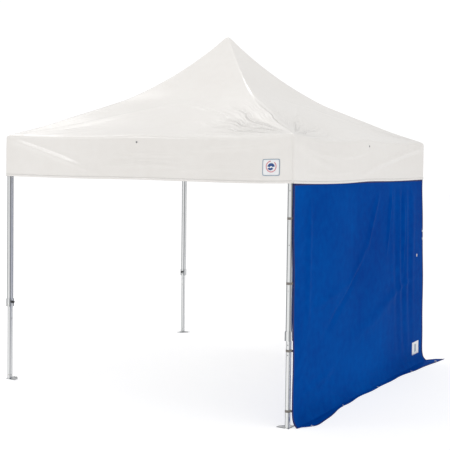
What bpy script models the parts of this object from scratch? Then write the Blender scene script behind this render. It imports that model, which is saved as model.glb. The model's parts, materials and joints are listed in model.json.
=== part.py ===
"""A ten foot square pop up canopy: four telescoping legs, a folding truss of scissor bars, a sprung peak
pole, a fabric top with valances, and one fabric sidewall whose hem lies on the floor."""

import math

import bmesh
import bpy
from mathutils import Matrix, Vector

# Overall sizes, in metres.
FABRIC = 1.530  # from the frame's middle to the outside of the valance
LEG = 1.497  # from the frame's middle to the middle of each leg, along X and along Y
EAVE = 2.330  # top of the fabric along the eave
PEAK = 3.344  # top of the fabric over the peak pole
VALANCE = 0.382  # drop of the valance below the eave
CLOTH = 0.0015  # thickness of the fabric
GAP = 0.0004  # running clearance

# How far the roof's ridge has dropped, as a share of its whole drop, against the distance from the peak.
ROOF_PROFILE = (
    (0.015, 0.0),
    (0.107, 0.165),
    (0.243, 0.369),
    (0.378, 0.534),
    (0.478, 0.632),
    (0.577, 0.707),
    (0.708, 0.804),
    (0.837, 0.901),
    (1.0, 1.0),
)
ROOF_STEPS = 4  # fabric facets along each side

# Legs: a square outer tube, a square inner tube that slides in it, and a foot plate.
OUTER = 0.040
INNER = 0.032
LEG_WALL = 0.0016
LEG_TOP = 2.318
COLLAR_LOW = 0.700
COLLAR_HIGH = 0.775
COLLAR = 0.050
PIN_HEIGHT = 0.745
INNER_TOP = 1.160
FOOT_PLATE = 0.004
FOOT_REACH = 0.088
HOLE_HEIGHTS_OUTER = (1.095, 1.460, 1.888)
HOLE_HEIGHTS_INNER = (0.585, 0.665, 0.745)

# Truss: every bar runs from an upper joint on one post to a lower joint on the next post.
UPPER = 2.290  # height of the upper joints
LOWER = 2.020  # height of the lower joints
PIVOT = 0.046  # from a post's middle to the joints on its arms
LAYER = 0.007  # sideways offset of a bar from the middle plane of its scissor pair
BAR_WIDE = 0.0127
BAR_DEEP = 0.025
BAR_WALL = 0.0015
BAR_END = 0.014  # past the end hole
CORE = 0.0235  # half the width of a bracket's middle block
ARM_START = 0.0205  # where the ears leave the block
SLEEVE_ARM_START = 0.0208  # where they leave a slider, clear of its bore
BLOCK = 0.022  # half the height of a bracket's middle block
EAR = 0.0033
EAR_REACH = 0.012
EAR_HALF = 0.012
RIVET = 0.0032
RIVET_HOLE = 0.0038
SLIDER_LOW = 1.962
SLIDER_HIGH = 2.045

# Peak pole: a tube held by the lower hub, with a sprung rod and cap at its top.
POLE_R = 0.016
POLE_BORE = 0.0140
POLE_LOW = 1.985
POLE_TOP = 3.150
ROD_R = 0.0130
ROD_LOW = 2.900
CAP_R = 0.018
CAP_LOW = 3.318
CAP_TOP = 3.339

# Sidewall on the +X side: it hangs from inside the valance and its hem spreads out over the floor.
WALL_X = 1.5235
WALL_TOP = 2.020
HEM = (  # places along Y at the wall's top and foot, then how far out in X and along in Y the hem reaches
    (-1.515, -1.478, 1.610, -1.390),
    (-1.380, -1.360, 1.650, -1.320),
    (-0.640, -0.640, 1.600, -0.640),
    (0.080, 0.080, 1.602, 0.080),
    (0.780, 0.790, 1.630, 0.860),
    (1.180, 1.240, 1.675, 1.320),
    (1.525, 1.620, 1.730, 1.785),
)
WALL_DROP = (  # how far out, height, and how much of the way the edge has gone from its top to its foot
    (0.0, 2.020, 0.0),
    (0.0, 1.940, 0.0),
    (0.0, 1.100, 0.65),
    (0.0, 0.160, 1.0),
    (0.004, 0.085, 1.0),
    (0.019, 0.030, 1.0),
    (0.045, 0.00075, 1.0),
)

# The hem lies past the frame on two sides, so the frame's middle stands this far from the origin.
MIDDLE = Vector(((FABRIC - HEM[-1][2]) / 2, (FABRIC - HEM[-1][3]) / 2, 0.0))

CORNERS = ("front_left", "front_right", "back_right", "back_left")
SIDES = ("front", "right", "back", "left")
HALF_PI = math.pi / 2


def clear_scene():
    for old in list(bpy.data.objects):
        bpy.data.objects.remove(old, do_unlink=True)


def material(name, colour, roughness, metallic):
    made = bpy.data.materials.new(name)
    made.use_nodes = True
    shader = made.node_tree.nodes["Principled BSDF"]
    shader.inputs["Base Color"].default_value = (*colour, 1.0)
    shader.inputs["Roughness"].default_value = roughness
    shader.inputs["Metallic"].default_value = metallic
    return made


def shape(points, faces):
    """A mesh from points and faces."""
    mesh = bpy.data.meshes.new("shape")
    mesh.from_pydata([tuple(p) for p in points], [], faces)
    mesh.update()
    return mesh


def box(low, high):
    points = [(x, y, z) for z in (low[2], high[2]) for y in (low[1], high[1]) for x in (low[0], high[0])]
    faces = [(0, 2, 3, 1), (4, 5, 7, 6), (0, 1, 5, 4), (2, 6, 7, 3), (0, 4, 6, 2), (1, 3, 7, 5)]
    return shape(points, faces)


def prism(outline, low, high):
    """A flat outline, given anticlockwise, raised from one height to another."""
    count = len(outline)
    points = [(x, y, low) for x, y in outline] + [(x, y, high) for x, y in outline]
    faces = [tuple(reversed(range(count))), tuple(range(count, 2 * count))]
    faces += [(i, (i + 1) % count, count + (i + 1) % count, count + i) for i in range(count)]
    return shape(points, faces)


def rod(start, end, radius, sides=8, end_radius=None):
    """A round rod between two points, with as many flats as sides says."""
    start = Vector(start)
    along = Vector(end) - start
    turn = along.to_track_quat("Z", "Y").to_matrix()
    points = []
    for reach, r in ((0.0, radius), (along.length, end_radius or radius)):
        for i in range(sides):
            angle = 2 * math.pi * (i + 0.5) / sides
            points.append(start + turn @ Vector((r * math.cos(angle), r * math.sin(angle), reach)))
    faces = [tuple(reversed(range(sides))), tuple(range(sides, 2 * sides))]
    faces += [(i, (i + 1) % sides, sides + (i + 1) % sides, sides + i) for i in range(sides)]
    return shape(points, faces)


def hollow(rings):
    """A tube open at both ends: outer start, outer end, inner end and inner start rings of equal count."""
    count = len(rings[0])
    points = [p for ring in rings for p in ring]
    faces = []
    for k in range(4):
        this = k * count
        after = (k + 1) % 4 * count
        for i in range(count):
            beside = (i + 1) % count
            faces.append((this + i, this + beside, after + beside, after + i))
    return shape(points, faces)


def square_tube(half_out, half_in, low, high):
    def ring(half, height):
        return [(-half, -half, height), (half, -half, height), (half, half, height), (-half, half, height)]

    return hollow([ring(half_out, low), ring(half_out, high), ring(half_in, high), ring(half_in, low)])


def round_tube(radius_out, radius_in, low, high, sides=16):
    def ring(radius, height):
        angles = [2 * math.pi * i / sides for i in range(sides)]
        return [(radius * math.cos(a), radius * math.sin(a), height) for a in angles]

    outside = [ring(radius_out, low), ring(radius_out, high)]
    inside = [ring(radius_in, high), ring(radius_in, low)]
    return hollow(outside + inside)


def moved(mesh, matrix):
    mesh.transform(matrix)
    return mesh


def solid(parts, cuts=()):
    """One closed mesh: the parts joined together, less the cuts."""
    base = bpy.data.objects.new("base", parts[0])
    bpy.context.scene.collection.objects.link(base)
    tools = []
    for operation, meshes in (("UNION", parts[1:]), ("DIFFERENCE", cuts)):
        for mesh in meshes:
            tool = bpy.data.objects.new("tool", mesh)
            bpy.context.scene.collection.objects.link(tool)
            tools.append(tool)
            step = base.modifiers.new(operation, "BOOLEAN")
            step.operation = operation
            step.solver = "EXACT"
            step.object = tool
    graph = bpy.context.evaluated_depsgraph_get()
    made = bpy.data.meshes.new_from_object(base.evaluated_get(graph))
    for spare in [base, *tools]:
        bpy.data.objects.remove(spare, do_unlink=True)
    return made


def put(name, mesh, look, matrix):
    """Adds a named piece with its own origin and material."""
    piece = bpy.data.objects.new(name, mesh)
    if not mesh.materials:
        mesh.materials.append(look)
    piece.matrix_world = matrix
    bpy.context.scene.collection.objects.link(piece)
    return piece


def quarter(index):
    return Matrix.Rotation(index * HALF_PI, 4, "Z")


def at(x, y, z=0.0):
    return Matrix.Translation(MIDDLE + Vector((x, y, z)))


def arm_parts(turns, layer, start=ARM_START):
    """A fork of two ears joined by a pin, on the arm that points some quarter turns from +X."""
    inner = BAR_WIDE / 2 + GAP
    reach = PIVOT + EAR_REACH
    parts = []
    for side in (-1, 1):
        near = layer + side * inner
        far = layer + side * (inner + EAR)
        low = (start, min(near, far), -EAR_HALF)
        high = (reach, max(near, far), EAR_HALF)
        parts.append(box(low, high))
    out = inner + EAR / 2
    parts.append(rod((PIVOT, layer - out, 0.0), (PIVOT, layer + out, 0.0), RIVET))
    return [moved(part, quarter(turns)) for part in parts]


def bracket(arms, layer, low, high, hole=None):
    """A middle block with a fork on each arm. Heights are measured from the joints' height."""
    block = box((-CORE, -CORE, low), (CORE, CORE, high))
    parts = [block]
    for turns in arms:
        parts += arm_parts(turns, layer)
    return solid(parts, [hole] if hole else [])


def bar_mesh(with_rivet):
    """A rectangular tube with a hole at each end, and the pair's rivet or its hole in the middle."""
    half_w = BAR_WIDE / 2
    half_d = BAR_DEEP / 2

    def ring(w, d, x):
        return [(x, -w, -d), (x, w, -d), (x, w, d), (x, -w, d)]

    start = -BAR_END
    end = BAR_LENGTH + BAR_END
    thin_w = half_w - BAR_WALL
    thin_d = half_d - BAR_WALL
    rings = [ring(half_w, half_d, start), ring(half_w, half_d, end), ring(thin_w, thin_d, end)]
    tube = hollow([*rings, ring(thin_w, thin_d, start)])
    holes = [0.0, BAR_LENGTH]
    parts = [tube]
    if with_rivet:
        far = -2 * LAYER - half_w - GAP
        middle = BAR_LENGTH / 2
        parts.append(rod((middle, half_w + 0.0015, 0), (middle, far - 0.0025, 0), RIVET))
        parts.append(rod((middle, far, 0), (middle, far - 0.002, 0), 2 * RIVET))
    else:
        holes.append(BAR_LENGTH / 2)
    cuts = [rod((x, -2 * half_w, 0), (x, 2 * half_w, 0), RIVET_HOLE) for x in holes]
    return solid(parts, cuts)


def outer_leg_mesh():
    """Outer tube, top bracket and adjuster collar of the front left corner, from the upper joint."""
    half = OUTER / 2
    tube = square_tube(half, half - LEG_WALL, COLLAR_LOW + 0.012 - UPPER, LEG_TOP - 0.004 - UPPER)
    top = box((-CORE, -CORE, -0.026), (CORE, CORE, LEG_TOP - UPPER))
    guide = INNER / 2 + 2 * GAP
    collar = square_tube(COLLAR / 2, guide, COLLAR_LOW - UPPER, COLLAR_HIGH - UPPER)
    parts = [tube, collar, top, *arm_parts(0, LAYER), *arm_parts(1, LAYER)]
    cuts = []
    for height in HOLE_HEIGHTS_OUTER:
        cuts.append(rod((-0.03, 0, height - UPPER), (0.03, 0, height - UPPER), 0.0042))
    cuts.append(rod((0.004, 0, PIN_HEIGHT - UPPER), (0.04, 0, PIN_HEIGHT - UPPER), 0.0050))
    return solid(parts, cuts)


def inner_leg_mesh():
    """Inner tube and foot plate, for the front left corner."""
    half = INNER / 2
    edge = 0.024
    skew = 0.012
    far = FOOT_REACH
    outline = [(-edge, -edge), (far, -edge), (far, skew), (skew, far), (-edge, far)]
    plate = prism(outline, 0.0, FOOT_PLATE)
    tube = square_tube(half, half - LEG_WALL, FOOT_PLATE / 2, INNER_TOP)
    cuts = [rod((-0.03, 0, z), (0.03, 0, z), 0.0042) for z in HOLE_HEIGHTS_INNER]
    stake = FOOT_REACH - 0.020
    cuts.append(rod((stake, -0.006, -0.01), (stake, -0.006, 0.01), 0.0065))
    cuts.append(rod((-0.006, stake, -0.01), (-0.006, stake, 0.01), 0.0065))
    return solid([plate, tube], cuts)


def slider_mesh():
    """Sliding bracket on the outer leg, for the front left corner."""
    half = OUTER / 2 + GAP
    sleeve = square_tube(CORE, half, SLIDER_LOW - LOWER, SLIDER_HIGH - LOWER)
    parts = [sleeve]
    for turns in (0, 1):
        parts += arm_parts(turns, -LAYER, SLEEVE_ARM_START)
    hole = rod((0.01, 0, PULL_HEIGHT), (0.04, 0, PULL_HEIGHT), 0.0042)
    return solid(parts, [hole])


def pull_pin_mesh(face, knob_r, knob_long, stem_r):
    """A knob on a short pin: the pin's tip ends just clear of the tube face that it locks."""
    tip = rod((face + GAP, 0, 0), (0.034, 0, 0), stem_r)
    knob = rod((0.030, 0, 0), (0.030 + knob_long, 0, 0), knob_r, 12, 0.9 * knob_r)
    return solid([tip, knob])


def roof_height(share):
    """Height of the roof at a share of the way from the peak to the eave."""
    if share <= ROOF_PROFILE[0][0]:
        return PEAK
    for (near, high), (far, low) in zip(ROOF_PROFILE, ROOF_PROFILE[1:]):
        if share <= far:
            drop = high + (low - high) * (share - near) / (far - near)
            return PEAK - (PEAK - EAVE) * drop
    return EAVE


def square_ring(half, height):
    """Points round a square, anticlockwise from its front left corner."""
    points = []
    for turn in range(4):
        for step in range(ROOF_STEPS):
            along = -half + 2 * half * step / ROOF_STEPS
            points.append(quarter(turn) @ Vector((along, -half, height)))
    return points


def canopy_mesh():
    """Roof and valances as one closed skin."""
    down = 0.0022
    outside = [square_ring(FABRIC * share, roof_height(share)) for share, _ in ROOF_PROFILE]
    outside.append(square_ring(FABRIC, EAVE - VALANCE))
    inside = [square_ring((FABRIC - CLOTH) * share, roof_height(share) - down) for share, _ in ROOF_PROFILE]
    inside.append(square_ring(FABRIC - CLOTH, EAVE - VALANCE))
    count = 4 * ROOF_STEPS
    rings = outside + inside[::-1]
    points = [p for ring in rings for p in ring]
    faces = []
    for k in range(len(rings) - 1):
        for i in range(count):
            after = (i + 1) % count
            faces.append((k * count + i, (k + 1) * count + i, (k + 1) * count + after, k * count + after))
    faces.append(tuple(range(count)))
    faces.append(tuple(reversed(range((len(rings) - 1) * count, len(rings) * count))))
    return shape(points, faces)


def sidewall_mesh():
    """The wall and its hem as one closed sheet, made of rows down the wall for each place along it."""
    half = CLOTH / 2
    columns = []
    for top, foot, reach, along in HEM:
        line = [Vector((WALL_X + out, top + (foot - top) * share, high)) for out, high, share in WALL_DROP]
        line.append(Vector((reach, along, half)))
        columns.append(line)
    count = len(columns[0])
    front = []
    back = []
    for line in columns:
        for i, here in enumerate(line):
            before = line[max(i - 1, 0)]
            after = line[min(i + 1, count - 1)]
            run = Vector((after.x - before.x, 0, after.z - before.z)).normalized()
            out = Vector((-run.z, 0, run.x)) * half
            if i >= count - 2:
                out = Vector((0, 0, half))
            front.append(here + out)
            back.append(here - out)
    total = len(front)
    wide = len(columns)
    faces = []
    for c in range(wide - 1):
        for r in range(count - 1):
            a = c * count + r
            b = a + count
            faces.append((a, a + 1, b + 1, b))
            faces.append((total + a, total + b, total + b + 1, total + a + 1))
    for c in range(wide - 1):
        top = c * count
        low = top + count - 1
        faces.append((top, top + count, total + top + count, total + top))
        faces.append((low, total + low, total + low + count, low + count))
    for r in range(count - 1):
        last = (wide - 1) * count + r
        faces.append((r, total + r, total + r + 1, r + 1))
        faces.append((last, last + 1, total + last + 1, total + last))
    return shape(front + back, faces)


SPAN = LEG - 2 * PIVOT
RISE = UPPER - LOWER
BAR_LENGTH = math.hypot(SPAN, RISE)
TILT = math.atan2(RISE, SPAN)
PULL_HEIGHT = -0.038  # slider's pull pin, from the lower joints' height

clear_scene()
aluminium = material("aluminium", (0.62, 0.63, 0.64), 0.38, 1.0)
bar_metal = material("bar_metal", (0.66, 0.67, 0.68), 0.42, 1.0)
grey_plastic = material("grey_plastic", (0.20, 0.21, 0.22), 0.55, 0.0)
black_plastic = material("black_plastic", (0.02, 0.02, 0.022), 0.5, 0.0)
white_fabric = material("white_fabric", (0.84, 0.82, 0.79), 0.5, 0.0)
blue_fabric = material("blue_fabric", (0.004, 0.05, 0.30), 0.6, 0.0)

# Four corners: each is the front left one turned a quarter further.
outer_leg = outer_leg_mesh()
inner_leg = inner_leg_mesh()
slider = slider_mesh()
adjuster_pin = pull_pin_mesh(INNER / 2, 0.012, 0.018, 0.0040)
slider_pin = pull_pin_mesh(OUTER / 2, 0.008, 0.014, 0.0034)
for index, corner in enumerate(CORNERS):
    turn = quarter(index)
    spot = turn @ Vector((-LEG, -LEG, 0.0))
    ground = at(spot.x, spot.y) @ turn
    put("outer_leg_" + corner, outer_leg, aluminium, at(spot.x, spot.y, UPPER) @ turn)
    put("inner_leg_" + corner, inner_leg, aluminium, ground)
    put("slider_" + corner, slider, grey_plastic, at(spot.x, spot.y, LOWER) @ turn)
    put("adjuster_pin_" + corner, adjuster_pin, black_plastic, at(spot.x, spot.y, PIN_HEIGHT) @ turn)
    put("slider_pin_" + corner, slider_pin, black_plastic, at(spot.x, spot.y, LOWER + PULL_HEIGHT) @ turn)

# Middle of each side: an upper and a lower bracket with an arm each way along the side and one inward.
upper_side = bracket((0, 1, 2), LAYER, -BLOCK, BLOCK)
lower_side = bracket((0, 1, 2), -LAYER, -BLOCK, BLOCK)
for index, side in enumerate(SIDES):
    turn = quarter(index)
    spot = turn @ Vector((0.0, -LEG, 0.0))
    put("upper_bracket_" + side, upper_side, grey_plastic, at(spot.x, spot.y, UPPER) @ turn)
    put("lower_bracket_" + side, lower_side, grey_plastic, at(spot.x, spot.y, LOWER) @ turn)

# Centre: the upper hub slides over the peak pole, and the lower hub holds its foot.
through = rod((0, 0, -0.06), (0, 0, 0.06), POLE_R + 0.0006, 16)
socket = rod((0, 0, POLE_LOW - LOWER - GAP), (0, 0, 0.06), POLE_R + GAP, 16)
put("hub_upper", bracket((0, 1, 2, 3), LAYER, -BLOCK, BLOCK, through), grey_plastic, at(0, 0, UPPER))
put("hub_lower", bracket((0, 1, 2, 3), -LAYER, -0.040, BLOCK, socket), grey_plastic, at(0, 0, LOWER))
put("peak_pole", round_tube(POLE_R, POLE_BORE, 0.0, POLE_TOP - POLE_LOW), aluminium, at(0, 0, POLE_LOW))
put("peak_rod", rod((0, 0, 0), (0, 0, CAP_LOW - GAP - ROD_LOW), ROD_R, 16), aluminium, at(0, 0, ROD_LOW))
cap = rod((0, 0, 0), (0, 0, CAP_TOP - CAP_LOW), CAP_R, 16, 0.9 * CAP_R)
put("peak_cap", cap, black_plastic, at(0, 0, CAP_LOW))

# Scissor bars: two for each pair of neighbouring posts, and one of the two carries the rivet they turn on.
rivet_bar = bar_mesh(True)
plain_bar = bar_mesh(False)
posts = {"centre": Vector((0.0, 0.0, 0.0))}
for index in range(4):
    posts[CORNERS[index]] = quarter(index) @ Vector((-LEG, -LEG, 0.0))
    posts[SIDES[index]] = quarter(index) @ Vector((0.0, -LEG, 0.0))
pairs = [("centre", side) for side in SIDES]
for index, side in enumerate(SIDES):
    pairs.append((side, CORNERS[(index + 1) % 4]))
    pairs.append((side, CORNERS[index]))
for first, second in pairs:
    for upper, lower, mesh in ((first, second, rivet_bar), (second, first, plain_bar)):
        along = (posts[lower] - posts[upper]).normalized()
        across = Vector((-along.y, along.x, 0.0))
        spot = posts[upper] + along * PIVOT + across * LAYER
        heading = Matrix.Rotation(math.atan2(along.y, along.x), 4, "Z") @ Matrix.Rotation(TILT, 4, "Y")
        put("bar_" + upper + "_to_" + lower, mesh, bar_metal, at(spot.x, spot.y, UPPER) @ heading)

# Fabric.
put("canopy_top", canopy_mesh(), white_fabric, at(0, 0))
put("sidewall", sidewall_mesh(), blue_fabric, at(0, 0))
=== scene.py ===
"""A ten foot pop up canopy: the cloth top and sidewall, their hems, seams, straps and grommets, the finish
of every metal and plastic piece of the folding frame, a pale floor, soft studio light and the camera."""

import json
import math

import bmesh
import bpy
import numpy as np
from mathutils import Matrix, Vector

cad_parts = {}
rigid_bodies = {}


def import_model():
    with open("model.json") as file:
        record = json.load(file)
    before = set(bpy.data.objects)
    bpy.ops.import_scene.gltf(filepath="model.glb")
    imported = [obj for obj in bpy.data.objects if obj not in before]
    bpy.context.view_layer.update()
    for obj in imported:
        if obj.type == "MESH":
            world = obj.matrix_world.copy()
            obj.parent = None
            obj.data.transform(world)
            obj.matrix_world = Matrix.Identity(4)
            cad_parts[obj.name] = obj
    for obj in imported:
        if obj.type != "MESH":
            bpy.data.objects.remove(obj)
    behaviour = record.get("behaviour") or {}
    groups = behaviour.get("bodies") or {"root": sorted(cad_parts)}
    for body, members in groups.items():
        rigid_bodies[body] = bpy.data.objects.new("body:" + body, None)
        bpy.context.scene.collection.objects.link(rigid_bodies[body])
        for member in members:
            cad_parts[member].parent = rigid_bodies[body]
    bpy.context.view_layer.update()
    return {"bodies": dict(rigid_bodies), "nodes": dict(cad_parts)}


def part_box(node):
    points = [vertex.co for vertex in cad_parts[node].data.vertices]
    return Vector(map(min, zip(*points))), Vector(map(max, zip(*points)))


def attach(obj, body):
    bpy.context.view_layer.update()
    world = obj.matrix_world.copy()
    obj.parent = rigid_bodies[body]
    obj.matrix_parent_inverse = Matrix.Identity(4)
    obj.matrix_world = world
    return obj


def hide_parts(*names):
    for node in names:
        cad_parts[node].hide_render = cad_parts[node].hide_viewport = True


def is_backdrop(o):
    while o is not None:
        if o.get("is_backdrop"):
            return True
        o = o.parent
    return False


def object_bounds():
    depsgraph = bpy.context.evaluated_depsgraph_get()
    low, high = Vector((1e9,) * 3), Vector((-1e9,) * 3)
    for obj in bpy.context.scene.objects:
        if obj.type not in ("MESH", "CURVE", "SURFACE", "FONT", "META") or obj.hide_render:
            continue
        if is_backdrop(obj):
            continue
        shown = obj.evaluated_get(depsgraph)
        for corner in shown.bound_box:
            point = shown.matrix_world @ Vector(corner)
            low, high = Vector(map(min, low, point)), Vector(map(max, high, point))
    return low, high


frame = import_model()

# The centre of the four posts, and the canopy's driving sizes, in metres.
CENTRE_X, CENTRE_Y = -0.100, -0.1275
HALF = 1.530  # middle of the top to the cloth's outer face
EAVE = 2.330
PEAK = 3.344
VALANCE = 0.382
POST = 1.497  # middle of the top to each leg's axis
WALL_X = 1.5235
FOLD_IN = 1.352  # how far a bracket moves inward when the frame is folded
FOLD_DOWN = 1.160  # how far the lower hub comes down
COVER = 0.972  # the top's share of a bracket's travel, so that it stays outside the wall when folded
LINING = 0.985  # the wall's share
TOP_CLOTH_THICKNESS = 0.0012
WALL_CLOTH_THICKNESS = 0.0010
EAVE_ROLL = 0.006  # how far the rounded eave brings the valance's first place down
ROOF_LENGTH = 1.95  # of the cloth's chart, from the peak to the eave
SIDE_PITCH = 4.0  # between the charts of two sides
WALL_LENGTH, WALL_HEIGHT, WALL_LYING = 2.98, 2.02, 0.08  # of the wall's chart
SIDES = ("front", "right", "back", "left")
CORNERS = ("front_left", "front_right", "back_right", "back_left")


# ---- shapes ----


def step(low, high, value):
    """0 below low, 1 above high, and a smooth S curve between them."""
    share = np.clip((value - low) / (high - low), 0.0, 1.0)
    return share * share * (3.0 - 2.0 * share)


def curve(knots, values, at):
    """A smooth curve through (knot, value) points: cubic pieces whose slopes are those of the chords
    on both sides of each knot."""
    knots, values = np.asarray(knots, float), np.asarray(values, float)
    slopes = np.gradient(values, knots)
    at = np.clip(at, knots[0], knots[-1])
    k = np.clip(np.searchsorted(knots, at) - 1, 0, len(knots) - 2)
    width = knots[k + 1] - knots[k]
    t = (at - knots[k]) / width
    return (
        values[k] * (1 + 2 * t) * (1 - t) ** 2
        + slopes[k] * width * t * (1 - t) ** 2
        + values[k + 1] * t * t * (3 - 2 * t)
        + slopes[k + 1] * width * t * t * (t - 1)
    )


def ridge(across, up, start, end, width, height, bow=0.0):
    """A raised fold along the line from start to end on a flat field: height times a bell curve of the
    distance from the line, which bows sideways by bow, fading in and out over the ends."""
    ax, ay = start
    dx, dy = end[0] - ax, end[1] - ay
    length = math.hypot(dx, dy)
    along = ((across - ax) * dx + (up - ay) * dy) / length**2
    aside = ((up - ay) * dx - (across - ax) * dy) / length
    aside = aside - bow * np.sin(np.pi * np.clip(along, 0, 1))
    ends = step(-0.12, 0.30, along) * (1 - step(0.60, 1.15, along))
    return height * ends * np.exp(-((aside / width) ** 2))


def ridges(across, up, folds):
    """Several ridges added up; a fold is its start, end, width, height and bow."""
    return sum(ridge(across, up, *fold) for fold in folds)


def billow(x, y, seed, pitch):
    """Slow, uneven rises and falls between -1 and 1: five sine waves of different headings and
    about the same pitch, added up."""
    total = np.zeros(np.broadcast(x, y).shape)
    for k in range(5):
        turn = seed * 1.7 + k * 2.399
        wave = 2 * np.pi / (pitch * (0.75 + 0.16 * k))
        total = total + np.sin(wave * (x * np.cos(turn) + y * np.sin(turn)) + seed * 3.1 + k * 1.3)
    return total / 5


def grid_piece(name, places, chart=None, ring=False, inside_out=False):
    """A mesh over a grid of places (rows, columns, 3), with chart (rows, columns, 2) as its UV map in
    metres; ring joins the last column to the first."""
    rows, columns = places.shape[:2]
    spans = columns if ring else columns - 1
    r, c = np.meshgrid(np.arange(rows - 1), np.arange(spans), indexing="ij")
    nxt = (c + 1) % columns
    this, after = r * columns, (r + 1) * columns
    corners = np.stack((this + c, this + nxt, after + nxt, after + c), -1)
    if inside_out:
        corners = corners[..., ::-1]
    corners = corners.reshape(-1, 4)
    mesh = bpy.data.meshes.new(name)
    mesh.vertices.add(rows * columns)
    mesh.vertices.foreach_set("co", places.reshape(-1))
    mesh.loops.add(corners.size)
    mesh.loops.foreach_set("vertex_index", corners.reshape(-1))
    mesh.polygons.add(len(corners))
    mesh.polygons.foreach_set("loop_start", np.arange(0, corners.size, 4))
    mesh.update(calc_edges=True)
    mesh.validate()
    if chart is not None:
        layer = mesh.uv_layers.new(name="Cloth")
        layer.data.foreach_set("uv", chart.reshape(-1, 2)[corners.reshape(-1)].reshape(-1))
    mesh.shade_smooth()
    piece = bpy.data.objects.new(name, mesh)
    bpy.context.scene.collection.objects.link(piece)
    return piece


def tube_piece(name, profile, path, close_path=False):
    """A closed body: profile, rows of (aside, up), carried along path, a list of (place, side axis,
    up axis). The ends join up, or are closed by shrinking to their middles."""
    rings = []
    for place, side, up in path:
        aside, high = profile[:, :1] * np.asarray(side), profile[:, 1:2] * np.asarray(up)
        rings.append(np.asarray(place) + aside + high)
    if not close_path:
        rings = [rings[0].mean(0) + 0 * rings[0]] + rings + [rings[-1].mean(0) + 0 * rings[-1]]
    else:
        rings = rings + [rings[0]]
    return tidy(grid_piece(name, np.array(rings), ring=True))


def tidy(piece):
    """Merges the doubled points of a piece and turns its faces outward."""
    body = bmesh.new()
    body.from_mesh(piece.data)
    bmesh.ops.remove_doubles(body, verts=body.verts, dist=1e-6)
    bmesh.ops.dissolve_degenerate(body, edges=body.edges, dist=1e-7)
    bmesh.ops.recalc_face_normals(body, faces=body.faces)
    body.to_mesh(piece.data)
    body.free()
    piece.data.shade_smooth()
    return piece


def thicken(piece, thickness, offset=-1.0):
    """Gives a sheet its cloth thickness."""
    solid = piece.modifiers.new("Cloth thickness", "SOLIDIFY")
    solid.thickness = thickness
    solid.offset = offset
    solid.use_even_offset = False
    return piece


def joined(name, pieces):
    """One object of several, keeping their places."""
    with bpy.context.temp_override(
        active_object=pieces[0], selected_objects=pieces, selected_editable_objects=pieces
    ):
        bpy.ops.object.join()
    pieces[0].name = name
    pieces[0].data.name = name
    return pieces[0]


def turned(name, profile, centre, axis, sides=24):
    """A round piece: profile of (radius, height) turned about axis through centre."""
    axis = Vector(axis).normalized()
    side = axis.orthogonal().normalized()
    other = axis.cross(side)
    angle = np.linspace(0, 2 * np.pi, sides, endpoint=False)
    profile = np.asarray(profile)
    around = np.cos(angle)[:, None] * np.array(side) + np.sin(angle)[:, None] * np.array(other)
    places = (
        np.asarray(centre)
        + profile[:, None, :1] * around[None]
        + profile[:, None, 1:2] * np.array(axis)
    )
    return tidy(grid_piece(name, places, ring=True))


def side_place(side, along, out, height):
    """A place on one side of the square: along it, out from the middle, and up, side 0 being the front."""
    x, y = along, -out
    for _ in range(side):
        x, y = -y, x
    return np.stack(np.broadcast_arrays(CENTRE_X + x, CENTRE_Y + y, height), -1)


def side_axis(side, along=0.0, out=1.0):
    """A direction on one side of the square, straight out unless along is given."""
    return side_place(side, along, out, 0.0) - side_place(side, 0.0, 0.0, 0.0)


# ---- materials ----


def node_group(name, output, **inputs):
    """A shader node group with one number out; its inputs are numbers, and vectors where None."""
    group = bpy.data.node_groups.new(name, "ShaderNodeTree")
    for label, value in inputs.items():
        kind = "NodeSocketVector" if value is None else "NodeSocketFloat"
        socket = group.interface.new_socket(label, in_out="INPUT", socket_type=kind)
        if value is not None:
            socket.default_value = value
    group.interface.new_socket(output, in_out="OUTPUT", socket_type="NodeSocketFloat")
    return group, group.nodes.new("NodeGroupInput"), group.nodes.new("NodeGroupOutput")


def add(tree, kind, links=(), **values):
    """Adds a node, sets its properties and inputs by name, and links (socket, source) pairs."""
    node = tree.nodes.new(kind)
    for key, value in values.items():
        if hasattr(node, key):
            setattr(node, key, value)
        else:
            node.inputs[key.replace("_", " ")].default_value = value
    for socket, source in links:
        tree.links.new(source, node.inputs[socket])
    return node


def calc(tree, operation, *terms):
    """A sum on sockets and numbers."""
    node = add(tree, "ShaderNodeMath", operation=operation)
    for number, term in enumerate(terms):
        if isinstance(term, float):
            node.inputs[number].default_value = term
        else:
            tree.links.new(term, node.inputs[number])
    return node.outputs[0]


def ranged(tree, source, low, high, first=0.0, last=1.0, kind="SMOOTHSTEP"):
    """Takes source from the range low to high into the range first to last."""
    node = add(tree, "ShaderNodeMapRange", ((0, source),), interpolation_type=kind)
    for number, value in enumerate((low, high, first, last)):
        node.inputs[number + 1].default_value = value
    return node.outputs[0]


def blotch_group():
    """Uneven colour and gloss: a slow and a fine noise, mixed, as a mask around 0.5."""
    group, into, out = node_group("Uneven finish", "Mask", Vector=None, Slow=2.0, Fine=40.0)
    slow, fine = (
        add(
            group, "ShaderNodeTexNoise", ((0, into.outputs["Vector"]), ("Scale", into.outputs[label])),
            Detail=detail,
        )
        for label, detail in (("Slow", 3.0), ("Fine", 4.0))
    )
    both = add(
        group, "ShaderNodeMix", ((2, slow.outputs[0]), (3, fine.outputs[0])), data_type="FLOAT", Factor=0.35
    )
    group.links.new(both.outputs[0], out.inputs["Mask"])
    return group


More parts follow.
